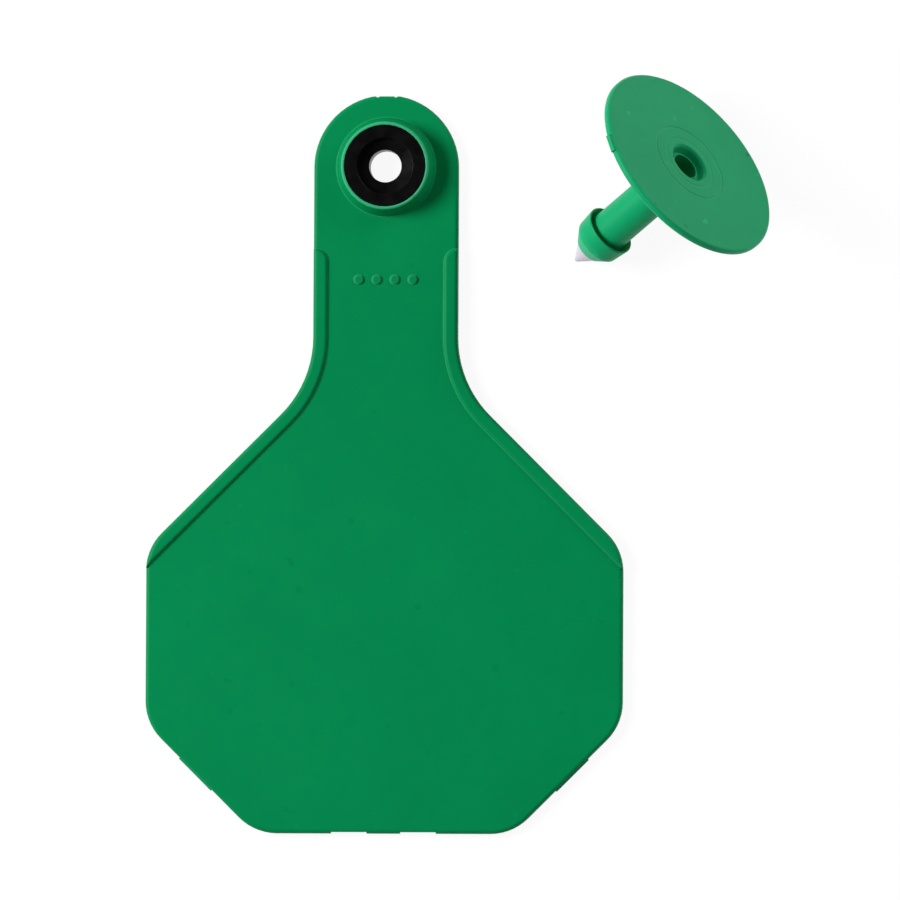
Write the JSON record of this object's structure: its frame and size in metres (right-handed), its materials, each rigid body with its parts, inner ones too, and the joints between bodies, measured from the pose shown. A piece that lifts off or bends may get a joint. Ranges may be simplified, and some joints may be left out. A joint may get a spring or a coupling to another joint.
{
  "type": "livestock ear tag",
  "caption": "Two-piece livestock ear tag: a blank flag panel with a raised locking boss, and the pointed button whose barb snaps into it.",
  "frame": {"origin": "on the axis of the locking hole, at the panel's back face", "axes": "+Z along the locking hole, out of the panel's front; +Y towards the head of the panel, the body hanging towards -Y; +X to the side where the button lies"},
  "size_m": [0.083, 0.1004, 0.0245],
  "materials": {
    "panel_green": "smooth satin moulding",
    "ring_black": "hard, smooth, slightly glossy",
    "button_green": "smooth satin moulding",
    "tip_pale": "pale, faintly translucent hard plastic"
  },
  "bodies": {
    "root": {"tag_panel": "panel_green", "locking_ring": "ring_black", "stud": "button_green", "stud_tip": "tip_pale"}
  },
  "joints": []
}
